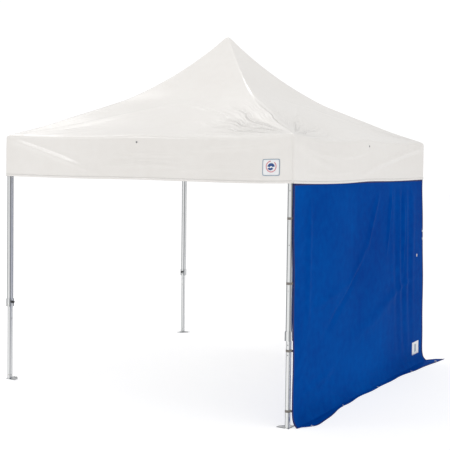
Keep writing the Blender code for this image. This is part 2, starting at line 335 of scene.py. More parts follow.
def weave_group():
    """Cloth threads: two crossed bands of waves along the cloth's own U and V."""
    group, into, out = node_group("Cloth weave", "Height", Vector=None, Threads=260.0)
    warp, weft = (
        add(
            group, "ShaderNodeTexWave", ((0, into.outputs["Vector"]), ("Scale", into.outputs["Threads"])),
            bands_direction=direction, Distortion=0.4,
        )
        for direction in "XY"
    )
    both = calc(group, "MULTIPLY", warp.outputs[1], weft.outputs[1])
    group.links.new(both, out.inputs["Height"])
    return group


def crease_group():
    """Soft creases of handled cloth: stretched noise folded about its middle, so that it makes lines."""
    group, into, out = node_group("Cloth creases", "Height", Vector=None, Scale=2.0)
    noise = add(
        group, "ShaderNodeTexNoise", ((0, into.outputs["Vector"]), ("Scale", into.outputs["Scale"])),
        Detail=2.5, Roughness=0.45, Distortion=0.5,
    )
    folded = calc(group, "ABSOLUTE", calc(group, "SUBTRACT", noise.outputs[0], 0.5))
    group.links.new(folded, out.inputs["Height"])
    return group


def pull_group():
    """Stretch creases that fan out of a corner of the cloth: lines at uneven angles round the corner,
    fading with the distance from it."""
    group, into, out = node_group("Corner pulls", "Height", Vector=None, Corner=None)
    away = add(group, "ShaderNodeVectorMath", ((0, into.outputs["Vector"]), (1, into.outputs["Corner"])),
               operation="SUBTRACT")
    flat = add(group, "ShaderNodeVectorMath", ((0, away.outputs[0]),), operation="MULTIPLY")
    flat.inputs[1].default_value = (1.0, 1.0, 0.0)
    parts = add(group, "ShaderNodeSeparateXYZ", ((0, flat.outputs[0]),))
    angle = calc(group, "ARCTAN2", parts.outputs[1], parts.outputs[0])
    far = add(group, "ShaderNodeVectorMath", ((0, flat.outputs[0]),), operation="LENGTH")
    wander = add(group, "ShaderNodeTexNoise", ((0, into.outputs["Vector"]),), Scale=2.2, Detail=2.0)
    bent = calc(group, "MULTIPLY_ADD", wander.outputs[0], 0.35, angle)
    lines = add(
        group, "ShaderNodeTexNoise", ((1, bent),), noise_dimensions="1D", Scale=9.0, Detail=2.0
    )
    folded = calc(group, "ABSOLUTE", calc(group, "SUBTRACT", lines.outputs[0], 0.5))
    fade = ranged(group, far.outputs[1], 0.35, 1.30, 1.0, 0.0)
    height = calc(group, "MULTIPLY", calc(group, "MULTIPLY", folded, far.outputs[1]), fade)
    group.links.new(height, out.inputs["Height"])
    return group


BLOTCH, WEAVE, CREASE, PULL = blotch_group(), weave_group(), crease_group(), pull_group()


def use(tree, group, links=(), **values):
    """Places a node group, with its own values, and gives its output."""
    node = tree.nodes.new("ShaderNodeGroup")
    node.node_tree = group
    for key, value in values.items():
        node.inputs[key].default_value = value
    for socket, source in links:
        tree.links.new(source, node.inputs[socket])
    return node.outputs[0]


def blank(name):
    """A new material, its node tree, its Principled shader, and the place in the object's own axes."""
    made = bpy.data.materials.new(name)
    made.use_nodes = True
    tree = made.node_tree
    return made, tree, tree.nodes["Principled BSDF"], add(tree, "ShaderNodeTexCoord").outputs["Object"]


def dress(tree, shader, **sources):
    """Links sources to the shader's inputs by name."""
    for label, source in sources.items():
        tree.links.new(source, shader.inputs[label.replace("_", " ")])


def tint(tree, mask, dark, light, low=0.3, high=0.7):
    """A colour between dark and light, by a mask."""
    ramp = add(tree, "ShaderNodeValToRGB", ((0, mask),))
    ramp.color_ramp.elements[0].position = low
    ramp.color_ramp.elements[1].position = high
    ramp.color_ramp.elements[0].color = (*dark, 1.0)
    ramp.color_ramp.elements[1].color = (*light, 1.0)
    return ramp.outputs[0]


def spread(tree, mask, low, high):
    """A number between low and high, by a mask."""
    return ranged(tree, mask, 0.25, 0.75, low, high, "LINEAR")


def coated_cloth(
    name, dark, light, rough, crease, crease_height, seams, coat, gloss, crease_from, pulls=()
):
    """Coated polyester: uneven colour and gloss, thread weave, soft creases above the height crease_from,
    pulls that fan out of (corner, strength), and rows of stitching at the V places in seams."""
    made, tree, shader, place = blank(name)
    chart = add(tree, "ShaderNodeUVMap", uv_map="Cloth")
    uneven = use(tree, BLOTCH, (("Vector", place),), Slow=1.1, Fine=14.0)
    colour = tint(tree, uneven, dark, light)
    weave = use(tree, WEAVE, (("Vector", chart.outputs[0]),), Threads=170.0)
    stretched = add(tree, "ShaderNodeMapping", ((0, place),))
    stretched.inputs["Rotation"].default_value = (0.3, 0.2, 0.6)
    stretched.inputs["Scale"].default_value = (0.7, 1.3, 1.9)
    folds = use(tree, CREASE, (("Vector", stretched.outputs[0]),), Scale=crease)
    parts = add(tree, "ShaderNodeSeparateXYZ", ((0, place),))
    share = ranged(tree, parts.outputs[2], crease_from - 0.10, crease_from, 0.1, 1.0)
    kept = calc(tree, "MULTIPLY", folds, share)
    fine = add(tree, "ShaderNodeBump", (("Height", weave),), Strength=0.12, Distance=0.0004)
    soft = add(
        tree, "ShaderNodeBump", (("Height", kept), ("Normal", fine.outputs[0])),
        Strength=0.5, Distance=crease_height,
    )
    for corner, strength in pulls:
        fan = use(tree, PULL, (("Vector", place),), Corner=corner)
        above = calc(tree, "MULTIPLY", fan, share)
        soft = add(
            tree, "ShaderNodeBump", (("Height", above), ("Normal", soft.outputs[0])),
            Strength=strength, Distance=0.11, invert=True,
        )
    line = stitch_mask(tree, chart.outputs[0], seams)
    last = add(
        tree, "ShaderNodeBump", (("Height", line), ("Normal", soft.outputs[0])),
        Strength=0.7, Distance=0.0015, invert=True,
    )
    shade = add(tree, "ShaderNodeMix", ((0, line), (6, colour)), data_type="RGBA", blend_type="MULTIPLY")
    shade.inputs[7].default_value = (0.90, 0.90, 0.90, 1.0)
    dull = spread(tree, uneven, rough - 0.05, rough + 0.06)
    dress(tree, shader, Base_Color=shade.outputs[2], Roughness=dull, Normal=last.outputs[0])
    shader.inputs["Specular IOR Level"].default_value = gloss
    shader.inputs["Coat Weight"].default_value = coat
    shader.inputs["Coat Roughness"].default_value = 0.16
    return made


def stitch_mask(tree, chart, seams):
    """1 on each row of stitching and 0 elsewhere: the distance in V from each seam, under 2 mm."""
    parts = add(tree, "ShaderNodeSeparateXYZ", ((0, chart),))
    total = None
    for place in seams:
        away = calc(tree, "ABSOLUTE", calc(tree, "SUBTRACT", parts.outputs[1], place))
        line = calc(tree, "LESS_THAN", away, 0.002)
        total = line if total is None else calc(tree, "MAXIMUM", total, line)
    return total


def metal(name, dark, light, rough, stretch=(1.0, 1.0, 0.06), scale=160.0):
    """Satin aluminium: extrusion lines along the tube, faint stains, and soft uneven gloss."""
    made, tree, shader, place = blank(name)
    lines = add(tree, "ShaderNodeMapping", ((0, place),))
    lines.inputs["Scale"].default_value = stretch
    uneven = use(tree, BLOTCH, (("Vector", lines.outputs[0]),), Slow=9.0, Fine=scale)
    colour, dull = tint(tree, uneven, dark, light), spread(tree, uneven, rough - 0.06, rough + 0.08)
    bump = add(tree, "ShaderNodeBump", (("Height", uneven),), Strength=0.15, Distance=0.0003)
    dress(tree, shader, Base_Color=colour, Roughness=dull, Normal=bump.outputs[0])
    shader.inputs["Metallic"].default_value = 0.85
    return made


def leg_metal(name, corner):
    """Satin aluminium of a square leg: pale flats, with painted shade making the grooves beside the tube's
    four edges darker.
    """
    made = metal(name, (0.70, 0.71, 0.71), (0.84, 0.85, 0.85), 0.34)
    tree, shader = made.node_tree, made.node_tree.nodes["Principled BSDF"]
    place = add(tree, "ShaderNodeTexCoord").outputs["Object"]
    x, y = side_place(corner, -POST, POST, 0.0)[:2]
    away = add(tree, "ShaderNodeVectorMath", ((0, place),), operation="SUBTRACT")
    away.inputs[1].default_value = (x, y, 0.0)
    size = add(tree, "ShaderNodeVectorMath", ((0, away.outputs[0]),), operation="ABSOLUTE")
    parts = add(tree, "ShaderNodeSeparateXYZ", ((0, size.outputs[0]),))
    # Painted shade: the base colour turns dark grey in the grooves beside the tube's four edges, where shade
    # falls.
    painted_groove_shade = ranged(tree, calc(tree, "MINIMUM", parts.outputs[0], parts.outputs[1]), 0.0085, 0.0125)
    flat = shader.inputs["Base Color"].links[0].from_socket
    # Mixes the painted shade's dark grey into the flats' colour along the edges.
    edge = add(tree, "ShaderNodeMix", ((0, painted_groove_shade), (6, flat)), data_type="RGBA")
    edge.inputs[7].default_value = (0.30, 0.31, 0.32, 1.0)
    tree.links.new(edge.outputs[2], shader.inputs["Base Color"])
    return made


def plastic(name, dark, light, rough):
    """Moulded plastic: a fine leathered grain and a little dust."""
    made, tree, shader, place = blank(name)
    uneven = use(tree, BLOTCH, (("Vector", place),), Slow=12.0, Fine=900.0)
    colour, dull = tint(tree, uneven, dark, light), spread(tree, uneven, rough - 0.05, rough + 0.1)
    bump = add(tree, "ShaderNodeBump", (("Height", uneven),), Strength=0.25, Distance=0.0004)
    dress(tree, shader, Base_Color=colour, Roughness=dull, Normal=bump.outputs[0])
    return made


def webbing(name, dark, light):
    """Flat woven strap: crossed threads and a soft, dull face."""
    made, tree, shader, place = blank(name)
    weave = use(tree, WEAVE, (("Vector", place),), Threads=220.0)
    uneven = use(tree, BLOTCH, (("Vector", place),), Slow=20.0, Fine=300.0)
    colour, dull = tint(tree, uneven, dark, light), spread(tree, uneven, 0.75, 0.9)
    bump = add(tree, "ShaderNodeBump", (("Height", weave),), Strength=0.4, Distance=0.0006)
    dress(tree, shader, Base_Color=colour, Roughness=dull, Normal=bump.outputs[0])
    return made


TOP_CLOTH = coated_cloth(
    "White coated cloth", (0.79, 0.762, 0.728), (0.835, 0.812, 0.782), 0.42, 2.2, 0.007,
    seams=(2.3615,), coat=0.50, gloss=0.5, crease_from=2.36,
    pulls=[
        ((CENTRE_X + x * HALF, CENTRE_Y + y * HALF, 0.0), strength)
        for x, y, strength in ((1, -1, 1.0), (-1, -1, 0.3), (1, 1, 0.3), (-1, 1, 0.3))
    ],
)
WALL_CLOTH = coated_cloth(
    "Blue coated cloth", (0.0, 0.038, 0.250), (0.0, 0.076, 0.370), 0.45, 2.6, 0.008, seams=(0.03, 2.07),
    coat=0.0, gloss=0.003, crease_from=0.1,
)
BINDING = webbing("Navy binding tape", (0.004, 0.006, 0.085), (0.007, 0.010, 0.13))
STRAP = webbing("Taupe strap", (0.17, 0.155, 0.14), (0.26, 0.24, 0.22))
LEG_METALS = [
    leg_metal("Satin leg aluminium " + corner.replace("_", " "), number)
    for number, corner in enumerate(CORNERS)
]
POLE_METAL = metal("Satin pole aluminium", (0.66, 0.67, 0.67), (0.80, 0.81, 0.81), 0.36)
BAR_METAL = metal("Truss bar aluminium", (0.62, 0.63, 0.64), (0.76, 0.77, 0.78), 0.40, (1.0, 1.0, 1.0), 90.0)
NICKEL = metal("Nickel grommet", (0.70, 0.69, 0.66), (0.90, 0.89, 0.86), 0.24, (1.0, 1.0, 1.0), 200.0)
GREY_PLASTIC = plastic("Grey moulded plastic", (0.15, 0.155, 0.16), (0.21, 0.215, 0.22), 0.5)
BLACK_PLASTIC = plastic("Black moulded plastic", (0.014, 0.014, 0.015), (0.03, 0.03, 0.032), 0.42)
LABEL = plastic("Plain white label", (0.80, 0.81, 0.83), (0.88, 0.89, 0.90), 0.4)
LABEL_EDGE = plastic("Grey blue label edge", (0.28, 0.36, 0.44), (0.36, 0.44, 0.52), 0.4)
LABEL_BLUE = plastic("Blue label print", (0.012, 0.05, 0.20), (0.02, 0.08, 0.28), 0.4)
LABEL_ROSE = plastic("Rose label print", (0.62, 0.20, 0.24), (0.72, 0.30, 0.33), 0.4)


def wear(piece, material):
    """Gives a piece its one material."""
    piece.data.materials.clear()
    piece.data.materials.append(material)
    return piece


# ---- the folding of cloth ----


def pleat(x, y):
    """How far the cloth stands out between the posts when the frame is folded, in metres: rounded waves
    along the side, none at the posts."""
    along = np.where(np.abs(x) > np.abs(y), y, x)
    between = np.abs(np.sin(np.pi * along / POST))
    return between * (0.030 + 0.026 * np.cos(2 * np.pi * along / 0.34))


def gather(piece, cover=COVER, top=False):
    """Cloth goes in with the four side brackets as the frame folds, and the roof down with the lower hub.
    Each point's share of the travel of the bracket it faces is its distance from the middle over the
    post's, times cover, less its pleat. Along its own side it has the lining's share instead, which
    turns into cover close to a corner, so that the folds of top and wall lie one behind the other.
    The roof's share of the hub's travel takes it down to a low heap over the folded bars."""
    count = len(piece.data.vertices)
    places = np.empty(count * 3, np.float64)
    piece.data.vertices.foreach_get("co", places)
    x, y, z = places.reshape(-1, 3).T
    x, y = x - CENTRE_X, y - CENTRE_Y
    reach = np.maximum(np.abs(x), np.abs(y))
    out = pleat(x, y) * step(0.4, 1.0, reach / HALF) / FOLD_IN
    facing_x = np.abs(x) >= np.abs(y)
    beside = np.minimum(np.abs(x), np.abs(y)) / np.maximum(reach, 1e-6)
    along = LINING + (cover - LINING) * step(0.92, 1.0, beside)
    share_x = np.abs(x) / POST * np.where(facing_x, cover, along) - np.where(facing_x, out, 0.0)
    share_y = np.abs(y) / POST * np.where(facing_x, along, cover) - np.where(facing_x, 0.0, out)
    shares = {
        "upper_bracket_right": np.where(x > 0, share_x, 0.0),
        "upper_bracket_left": np.where(x > 0, 0.0, share_x),
        "upper_bracket_front": np.where(y > 0, 0.0, share_y),
        "upper_bracket_back": np.where(y > 0, share_y, 0.0),
    }
    if top:
        outward = reach / HALF
        heap = 2.375 + 0.10 * np.sin(np.pi * np.clip(outward, 0, 1)) ** 2
        heap = heap + 0.02 * np.sin(np.arctan2(y, x) * 12) * step(0.1, 0.5, outward)
        shares["hub_lower"] = np.where(z > EAVE, np.clip((z - heap) / FOLD_DOWN, 0, 1), 0.0)
        shares["hub_lower"] *= step(0.0, 0.06, z - EAVE)
    for body, share in shares.items():
        group = piece.vertex_groups.new(name=body)
        share = np.clip(share, 0.0, 1.0)
        level = np.round(share, 3)
        for value in np.unique(level[level > 0]):
            group.add(np.flatnonzero(level == value).tolist(), float(value), "REPLACE")
        hook = piece.modifiers.new("Gathered by " + body, "HOOK")
        hook.object = frame["bodies"][body]
        hook.vertex_group = body
        hook.falloff_type = "NONE"
        hook.matrix_inverse = frame["bodies"][body].matrix_world.inverted()
    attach(piece, "hub_upper")
    return piece


# ---- the top ----

# Share of the way from the peak to the eave across the roof, and share of the drop.
ROOF_ACROSS = (0.0, 0.015, 0.040, 0.107, 0.243, 0.378, 0.478, 0.577, 0.708, 0.837, 1.0)
ROOF_DROP = (-0.013, 0.003, 0.050, 0.165, 0.369, 0.534, 0.632, 0.707, 0.804, 0.901, 1.0)


def around_square(count):
    """Places round a square, closer together near its corners: side number and place along it, -1 to 1."""
    even = np.linspace(-1, 1, count, endpoint=False)
    along = even + 0.45 * np.sin(np.pi * even) / np.pi
    return np.repeat(np.arange(4), count), np.tile(along, 4)


def eave_sag(side, along):
    """The eave hangs a little between each corner and the bracket at the middle of its side, most on
    the right."""
    knots = (-1.0, -0.75, -0.35, 0.0, 0.4, 0.8, 1.0)
    depths = (
        (0.0, 0.010, 0.014, 0.006, 0.018, 0.020, 0.0),
        (0.0, 0.026, 0.036, 0.008, 0.018, 0.010, 0.0),
        (0.0, 0.016, 0.024, 0.008, 0.024, 0.014, 0.0),
        (0.0, 0.012, 0.018, 0.007, 0.018, 0.010, 0.0),
    )
    return np.choose(side, [curve(knots, depth, along) for depth in depths])


def corner_rays(side, along, across):
    """Stretch wrinkles that fan out of each corner up over the roof: bell-shaped ridges at fixed angles
    between the eave and the hip, fading with distance from the corner."""
    total = np.zeros(along.shape)
    for end in (-1, 1):
        beside = (1 - end * along) * across * HALF
        inward = (1 - across) * HALF
        far = np.hypot(beside, inward)
        angle = np.degrees(np.arctan2(inward, beside + 1e-6))
        front_right = ((side == 0) & (end == 1)) | ((side == 1) & (end == -1))
        strength = np.where(front_right, 1.0, 0.45)
        strength = np.where((side == 1) & (end == -1), 0.55, strength)
        for place, width, height, reach in (
            (41.0, 2.0, 0.0100, 1.45), (35.0, 2.1, 0.0080, 0.95), (29.0, 2.3, 0.0070, 0.72),
            (22.0, 2.5, 0.0085, 0.66), (15.5, 2.2, 0.0070, 0.80), (9.0, 2.0, 0.0055, 0.95),
            (4.0, 1.6, 0.0035, 0.90),
        ):
            bend = place + 1.6 * np.sin(far * 5.0 + place)
            fade = step(0.02, 0.20, far) * (1 - step(0.55 * reach, reach, far))
            total = total + strength * height * fade * np.exp(-(((angle - bend) / width) ** 2))
    return total


def valance_relief(side, along, down):
    """How far the valance stands out: the diagonal folds of a hanging skirt and its slow waves, which
    grow toward the hem."""
    place = along * HALF
    height = EAVE - down
    swing = 0.005 * billow(place + 4.1 * side, 0.3 * height, 1.0, 0.85) * (0.25 + down / VALANCE)
    front = ridges(place, height, (
        ((-1.50, 2.315), (-0.42, 1.990), 0.026, 0.019, 0.015),
        ((-1.44, 2.330), (-0.38, 2.050), 0.034, -0.009, 0.015),
        ((-0.25, 2.150), (0.55, 2.165), 0.011, 0.0085, 0.008),
        ((-0.20, 2.110), (0.50, 2.122), 0.011, 0.0080, -0.006),
        ((-0.30, 2.068), (0.60, 2.074), 0.012, 0.0085, 0.006),
        ((0.35, 2.030), (1.05, 2.065), 0.016, 0.0060, 0.010),
        ((0.55, 2.225), (1.44, 2.285), 0.020, 0.0080, -0.012),
        ((0.95, 1.990), (1.45, 1.985), 0.010, 0.0040, 0.008),
    ))
    right = ridges(place, height, (
        ((-1.50, 2.300), (-0.62, 2.185), 0.030, 0.0090, -0.030),
        ((-1.49, 2.270), (-0.70, 2.075), 0.030, 0.0075, -0.020),
        ((1.47, 2.285), (-0.15, 2.010), 0.026, 0.0150, -0.030),
        ((1.47, 2.245), (0.10, 1.985), 0.026, -0.0045, -0.030),
        ((-0.60, 2.190), (0.10, 2.255), 0.014, 0.0050, -0.020),
        ((-1.35, 2.035), (-0.30, 2.055), 0.012, 0.0040, -0.012),
    ))
    other = ridges(place, height, (
        ((1.49, 2.310), (0.50, 2.010), 0.020, 0.0085, 0.015),
        ((-1.49, 2.310), (-0.75, 2.050), 0.018, 0.0070, -0.010),
        ((-0.45, 2.120), (0.45, 2.140), 0.012, 0.0040, 0.012),
    ))
    folds = np.where(side == 0, front, np.where(side == 1, right, other))
    free = step(0.0, 0.05, down) * (1 - 0.75 * step(0.955, 1.0, np.abs(along)))
    out = swing * free + folds * step(0.0, 0.03, down)
    above = out + 0.0015
    return 0.5 * (above + np.sqrt(above**2 + 0.004**2)) - 0.0015 - 0.0010 * (1 - step(0.0, 0.03, down))


def side_turn(side, along, out, height):
    """As side_place, for an array of side numbers."""
    x = np.choose(side, (along, out, -along, -out))
    y = np.choose(side, (-out, along, out, -along))
    return np.stack(np.broadcast_arrays(CENTRE_X + x, CENTRE_Y + y, height), -1)


def square_place(side, along, reach, height, rounding, out=0.0):
    """A place on a square ring of half width reach whose corners are rounded: within the rounding length
    of a corner both of its coordinates pull inward by the square of the closeness."""
    beside = np.clip((1 - np.abs(along)) * reach / rounding, 0, 1)
    pull = rounding * (0.5 * (1 - beside)) ** 2
    place = along * reach - np.sign(along) * pull
    return side_turn(side, place, reach - pull + out, height)


def skirt_rounding(down):
    """The length of the rounded corner of the skirt, widest at the eave."""
    return 0.026 + 0.004 * (1 - step(0.0, 0.20, down))


def skirt_height(side, along, down):
    """The height of the valance's cloth, down below the eave, whose sag fades toward the hem."""
    taper = 1 - step(0.0, 0.25, down)
    height = EAVE - down - EAVE_ROLL * (1 - down / VALANCE)
    return height - eave_sag(side, along) * (0.35 + 0.65 * taper)


def make_top():
    """The roof and its four valances as one sheet. Rings run from the peak to the eave, over a rounded
    edge, and down to the hem."""
    side, along = around_square(108)
    across = np.concatenate((
        [0.004, 0.014, 0.024], np.linspace(0.034, 0.58, 30), np.linspace(0.59, 0.985, 42), [0.9915, 0.9965],
    ))
    places, charts = [], []
    for share in across:
        reach = share * HALF
        height = EAVE + (PEAK - EAVE) * (1 - curve(ROOF_ACROSS, ROOF_DROP, share))
        hang = 0.012 * np.sin(np.pi * share) * np.cos(np.pi * along / 2) ** 0.5
        slow = 0.004 * billow(along * reach + 7.0 * side, reach * 1.3, 2.0, 0.9) * step(0.08, 0.4, share)
        lift = corner_rays(side, along, share) - hang + slow
        lift = lift - eave_sag(side, along) * step(0.70, 1.0, share)
        edge = 0.010 * step(0.985, 1.0, share) ** 2
        low = step(0.55, 1.0, share)
        rounding = 0.008 + 0.050 * reach * (1 - low) + 0.022 * low
        places.append(square_place(side, along, reach, height + lift - edge, rounding))
        from_peak = np.full(along.shape, share * ROOF_LENGTH)
        charts.append(np.stack((side * SIDE_PITCH + along * reach, from_peak), -1))
    downs = np.concatenate((
        [0.007, 0.014], np.linspace(0.022, VALANCE - 0.022, 28), [VALANCE - 0.011, VALANCE],
    ))
    for down in downs:
        height = skirt_height(side, along, down)
        out = valance_relief(side, along, np.full(along.shape, down)) - 0.0015 * (down < 0.01)
        places.append(square_place(side, along, HALF, height, skirt_rounding(down), out))
        charts.append(np.stack((side * SIDE_PITCH + along * HALF, np.full(along.shape, 2.0 + down)), -1))
    return grid_piece("canopy_cloth_top", np.array(places), np.array(charts), ring=True)


def finish_top(top):
    """Closes the small hole at the peak and turns the faces outward."""
    body = bmesh.new()
    body.from_mesh(top.data)
    body.verts.ensure_lookup_table()
    rim = [edge for edge in body.edges if edge.is_boundary and edge.verts[0].co.z > EAVE]
    bmesh.ops.contextual_create(body, geom=rim)
    bmesh.ops.recalc_face_normals(body, faces=body.faces)
    if sum(f.normal.z for f in body.faces) < 0:
        bmesh.ops.reverse_faces(body, faces=body.faces)
    body.to_mesh(top.data)
    body.free()
    top.data.shade_smooth()


top = wear(make_top(), TOP_CLOTH)
finish_top(top)
gather(top, top=True)
thicken(top, TOP_CLOTH_THICKNESS)
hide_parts("canopy_top")


def skirt_place(side, place, down, out):
    """A place on the valance of one side, out from its cloth by out."""
    side = np.full(np.shape(place), side)
    along = place / HALF
    reach = HALF + valance_relief(side, along, down) + out
    return side_turn(side, place, reach, skirt_height(side, along, down))


def skirt_patch(name, side, low, high, top_down, foot_down, out, count=(12, 12), corner=0.0):
    """A flat patch on the valance, from low to high along it and between two distances down; corner
    rounds its four corners by pulling them in."""
    u, v = np.meshgrid(np.linspace(0, 1, count[0]), np.linspace(0, 1, count[1]), indexing="ij")
    if corner:
        a, b = 2 * u - 1, 2 * v - 1
        u = 0.5 + 0.5 * a * (1 - corner * b**6)
        v = 0.5 + 0.5 * b * (1 - corner * a**6)
    place, down = low + (high - low) * u, top_down + (foot_down - top_down) * v
    flat = np.stack((SIDE_PITCH * side + place, 2.0 + down), -1)
    return grid_piece(name, skirt_place(side, place, down, out), flat, inside_out=True)


def skirt_band(name, side, down, depth, out, thickness):
    """A hem or tape along one valance."""
    piece = skirt_patch(name, side, -HALF + 0.012, HALF - 0.012, down, down + depth, out, (140, 3))
    return thicken(piece, thickness, 1.0)


for number, name in enumerate(SIDES):
    hem = skirt_band("valance_hem_" + name, number, VALANCE - 0.0185, 0.0195, 0.0004, 0.0010)
    gather(wear(hem, TOP_CLOTH))


def corner_seam(name, side):
    """The sewn edge down a corner of the skirt, at the start of a side: a slim rounded rib, following
    the cloth's rounding."""
    down = np.linspace(0.060, VALANCE - 0.002, 30)
    pull = skirt_rounding(down) * 0.25
    angle = np.linspace(0, 2 * np.pi, 8, endpoint=False)
    reach = HALF - pull + 0.0005
    sides = np.full(down.shape, side)
    base = side_turn(sides, -reach, reach, skirt_height(sides, np.full(down.shape, -1.0), down))
    outward = side_axis(side, -1.0)
    outward = outward / np.linalg.norm(outward)
    beside = np.array((-outward[1], outward[0], 0.0))
    places = (
        base[:, None, :]
        + 0.0045 * np.cos(angle)[None, :, None] * beside
        + 0.0012 * np.sin(angle)[None, :, None] * outward
    )
    return tidy(grid_piece(name, places, ring=True))


for number, name in enumerate(CORNERS):
    seam = wear(corner_seam("corner_seam_" + name, number), TOP_CLOTH)
    gather(seam)

# A snap stud at the top of each valance, where the cloth is fastened to the side bracket.
for number, name in enumerate(SIDES):
    spot = skirt_place(number, np.array([0.012]), np.array([0.050]), 0.0)[0]
    stud = turned(
        "valance_stud_" + name,
        (
            (0.0, -0.001), (0.0085, -0.001), (0.0085, 0.0012), (0.0065, 0.0028), (0.0035, 0.0034),
            (0.0, 0.0035),
        ),
        spot, side_axis(number),
    )
    gather(wear(stud, BLACK_PLASTIC if number > 1 else GREY_PLASTIC))

# A plain sewn label with a generic round device, at the right end of the front valance.
labels = [
    wear(skirt_patch(name, 0, *ends, out, (16, 16), 0.05), material)
    for name, ends, out, material in (
        ("valance_label_edge", (1.256, 1.414, 0.183, 0.322), 0.0012, LABEL_EDGE),
        ("valance_label", (1.263, 1.407, 0.190, 0.315), 0.0019, LABEL),
    )
]


def disc_on_skirt(name, place, down, inner, outer, low, high, out):
    """Part of a flat ring on the front valance, between two radii and two angles."""
    u, v = np.meshgrid(np.linspace(0, 1, 5), np.linspace(0, 1, 28), indexing="ij")
    radius = inner + (outer - inner) * u
    angle = low + (high - low) * v
    across, below = place + radius * np.cos(angle), down + radius * np.sin(angle)
    return grid_piece(name, skirt_place(0, across, below, out), np.stack((across, below), -1))


for name, shape, material in (
    ("label_ring", (1.336, 0.246, 0.040, 0.048, -0.9, 4.6, 0.0026), LABEL_ROSE),
    ("label_wave_upper", (1.336, 0.252, 0.010, 0.033, 3.3, 6.1, 0.0030), LABEL_BLUE),
    ("label_wave_lower", (1.330, 0.248, 0.012, 0.028, 0.5, 2.6, 0.0030), LABEL_BLUE),
):
    labels.append(wear(disc_on_skirt(name, *shape), material))
for piece in labels:
    thicken(piece, 0.0006, 0.0)
    gather(piece)


# ---- the sidewall ----

# Rows from the wall's front edge to its back one: the place along its top, the place along its foot, how
# far out from the middle the hem lies, and the place along it there.
HEM = np.array((
    (-1.515, -1.478, 1.610, -1.390), (-1.380, -1.360, 1.650, -1.320), (-0.640, -0.640, 1.600, -0.640),
    (0.080, 0.080, 1.602, 0.080), (0.780, 0.790, 1.630, 0.860), (1.180, 1.240, 1.675, 1.320),
    (1.516, 1.620, 1.730, 1.785),
))
RELIEF = 1.9  # how strongly the wall's folds and waves stand out
# Rows from the wall's top down: out from its plane, height, and share of the way from the top's place
# along to the foot's.
WALL_DROP = np.array((
    (0.0, 2.020, 0.0), (0.0, 1.940, 0.0), (0.0, 1.100, 0.65), (0.0, 0.160, 1.0),
    (0.004, 0.085, 1.0), (0.019, 0.030, 1.0), (0.045, 0.0012, 1.0),
))


def wall_relief(place, height):
    """How far the wall stands out of its plane: folds that fall from its top right, a pulled streak
    across its middle, and slow waves."""
    slow = 0.005 * billow(place, 0.45 * height, 3.0, 0.8)
    wave = np.sin(2 * np.pi * (place + 0.10 * height) / 0.19 + 0.8 * np.sin(height * 2.1))
    hanging = 0.0028 * (1 + 0.6 * np.sin(place * 7.0 + height)) * wave
    hanging = hanging * step(0.35, 0.95, place) * (0.35 + 0.65 * step(0.2, 1.2, height))
    hanging = hanging * (1 - step(1.40, 1.52, place))
    folds = ridges(place, height, (
        ((0.05, 1.370), (-0.62, 0.840), 0.030, 0.0065, 0.010),
        ((0.32, 1.880), (0.02, 1.300), 0.034, 0.0060, -0.012),
        ((-0.12, 1.180), (-0.90, 0.640), 0.034, -0.008, 0.010),
        ((-0.70, 0.330), (-1.28, 0.230), 0.030, 0.0070, 0.012),
        ((0.85, 0.830), (-0.40, 0.500), 0.060, 0.006, 0.030),
        ((1.30, 0.930), (0.30, 0.700), 0.030, 0.006, -0.020),
        ((-0.30, 1.060), (-1.25, 0.900), 0.030, 0.005, 0.018),
        ((0.62, 1.880), (0.52, 1.250), 0.024, 0.009, 0.010),
        ((0.95, 1.860), (0.98, 0.900), 0.028, 0.008, 0.010),
        ((-1.20, 1.840), (-1.22, 0.700), 0.040, 0.005, 0.012),
    ))
    free = step(0.10, 0.30, height) * (1 - step(1.72, 1.93, height))
    free = free * (1 - 0.8 * step(1.25, 1.44, np.abs(place)))
    return RELIEF * (slow + hanging + folds) * free


def wall_place(across, drop, out=0.0):
    """A place on the wall: across from 0 to 1 along its top, drop from 0 to 1 down to the floor, and on
    to 2 along the part that lies on the floor; out stands it off the cloth."""
    knots = (HEM[:, 0] - HEM[0, 0]) / (HEM[-1, 0] - HEM[0, 0])
    top_y = HEM[0, 0] + (HEM[-1, 0] - HEM[0, 0]) * across
    foot_y = top_y + curve(knots, HEM[:, 1] - HEM[:, 0], across)
    reach, end_y = curve(knots, HEM[:, 2], across), curve(knots, HEM[:, 3], across)
    reach = reach + 0.005 * np.sin(across * 41.0) + 0.004 * np.sin(across * 23.0 + 1.0)
    levels = np.array((0.0, 0.04, 0.45, 0.90, 0.94, 0.975, 1.0))
    along_drop = np.clip(drop, 0, 1)
    away = np.interp(along_drop, levels, WALL_DROP[:, 0])
    away = np.where(along_drop > 0.90, curve(levels[3:], WALL_DROP[3:, 0], along_drop), away)
    height = np.interp(along_drop, levels, WALL_DROP[:, 1])
    height = np.where(along_drop > 0.90, curve(levels[3:], WALL_DROP[3:, 1], along_drop), height)
    share = curve(levels, WALL_DROP[:, 2], along_drop)
    y = top_y + (foot_y - top_y) * share
    lying = np.clip(drop - 1, 0, 1)
    rumple = 0.006 * (0.5 + 0.5 * billow(y * 2.0, lying * 0.2, 5.0, 0.30)) * np.sin(np.pi * lying) ** 2
    x = WALL_X + away + (reach - WALL_X - 0.045) * lying + wall_relief(y, height)
    y = y + (end_y - y) * lying
    ripple = 0.006 * np.sin(height * 9.0) * step(0.1, 0.4, height) * (1 - step(1.7, 2.0, height))
    edge = step(0.93, 1.0, across) - 0.8 * step(0.07, 0.0, across)
    y = y + ripple * edge
    upright = 1 - step(0.93, 1.0, drop)
    x = x + out * upright
    height = height + rumple + out * (1 - upright) + 0.0004
    return np.stack((CENTRE_X + x, CENTRE_Y + y, height), -1)


